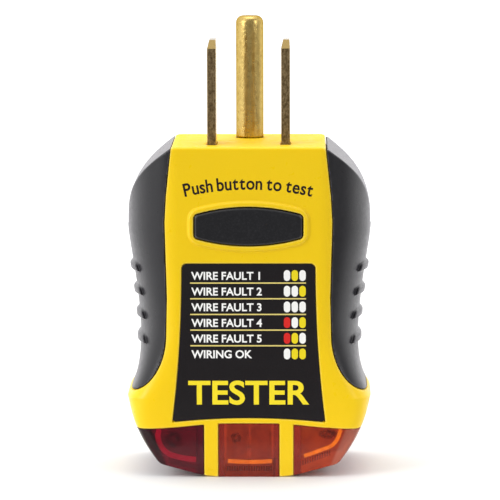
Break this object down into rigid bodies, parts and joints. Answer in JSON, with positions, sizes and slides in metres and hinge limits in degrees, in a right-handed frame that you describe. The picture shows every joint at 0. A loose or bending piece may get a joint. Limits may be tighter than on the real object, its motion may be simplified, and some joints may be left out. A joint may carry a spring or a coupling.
{
  "type": "outlet tester plug",
  "caption": "Plug-in receptacle tester: pronged housing with soft grips, push-button fault test, legend plate and lamp windows.",
  "frame": {"origin": "centre of the mating face that rests against the outlet", "axes": "+Z along the prongs, -Y towards the front with the button and legend, X across the width"},
  "size_m": [0.0424, 0.0275, 0.0784],
  "materials": {
    "housing": "smooth moulded yellow",
    "grip": "satin black soft grip",
    "legend": "printed black plate",
    "screw": "zinc plated",
    "carrier": "moulded insulator",
    "blade": "stamped, tarnished edges",
    "pin": "polished",
    "red_lens": "translucent red",
    "amber_lens": "translucent amber",
    "lamp_glass": "clear",
    "lead_metal": "tinned wire",
    "board": "solder mask",
    "resistor": "lacquered",
    "power_resistor": "lacquered",
    "line_insulation": "extruded",
    "neutral_insulation": "extruded",
    "ground_insulation": "extruded",
    "guide": "moulded",
    "contact": "plain",
    "button": "fine textured black",
    "spring": "drawn wire"
  },
  "bodies": {
    "housing": {"front_shell": "housing", "rear_shell": "housing", "left_grip": "grip", "right_grip": "grip", "legend_label": "legend", "case_screws": "screw", "blade_carrier": "carrier", "line_blade": "blade", "neutral_blade": "blade", "ground_pin": "pin", "red_lens": "red_lens", "centre_amber_lens": "amber_lens", "right_amber_lens": "amber_lens", "left_lamp_glass": "lamp_glass", "centre_lamp_glass": "lamp_glass", "right_lamp_glass": "lamp_glass", "left_lamp_leads": "lead_metal", "centre_lamp_leads": "lead_metal", "right_lamp_leads": "lead_metal", "circuit_board": "board", "left_ballast_resistor": "resistor", "centre_ballast_resistor": "resistor", "right_ballast_resistor": "resistor", "test_resistor": "power_resistor", "line_wire": "line_insulation", "neutral_wire": "neutral_insulation", "ground_wire": "ground_insulation", "switch_guide": "guide", "fixed_contacts": "contact", "return_spring": "spring"},
    "button": {"test_button": "button", "contact_bridge": "contact"}
  },
  "joints": [
    {"name": "button_press", "type": "slide", "parent": "housing", "child": "button", "axis": [0, 1, 0], "range_m": [0, 0.0018], "stiffness_N_per_m": 600, "deforming": ["return_spring"]}
  ]
}
